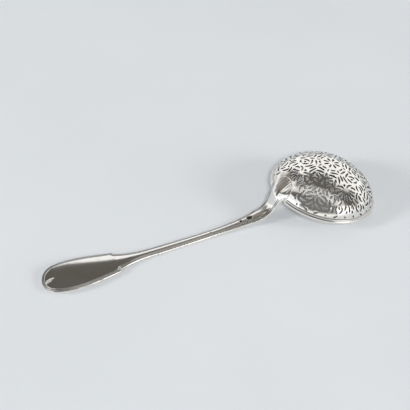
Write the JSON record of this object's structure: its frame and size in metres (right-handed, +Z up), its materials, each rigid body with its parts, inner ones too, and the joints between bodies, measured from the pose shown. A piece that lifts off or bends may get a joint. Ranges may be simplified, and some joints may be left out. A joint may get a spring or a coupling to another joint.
{
  "type": "sugar sifter spoon",
  "caption": "Silver spoon with a deep round bowl pierced with a leaf and scroll pattern for sifting sugar, a moulded rim and a long fiddle-shaped handle, lying face down.",
  "frame": {"origin": "middle of the spoon's box, on the table that it lies on face down", "axes": "+X along the spoon from the handle to the bowl, +Y across it, +Z up off the table"},
  "size_m": [0.2051, 0.0632, 0.0292],
  "materials": {
    "bowl_silver": "polished silver, dark in the cuts of the pattern",
    "wire_silver": "polished silver, dark along the reed",
    "handle_silver": "polished silver with fine wear"
  },
  "bodies": {
    "root": {"bowl": "bowl_silver", "rim_wire": "wire_silver", "handle": "handle_silver"}
  },
  "joints": []
}
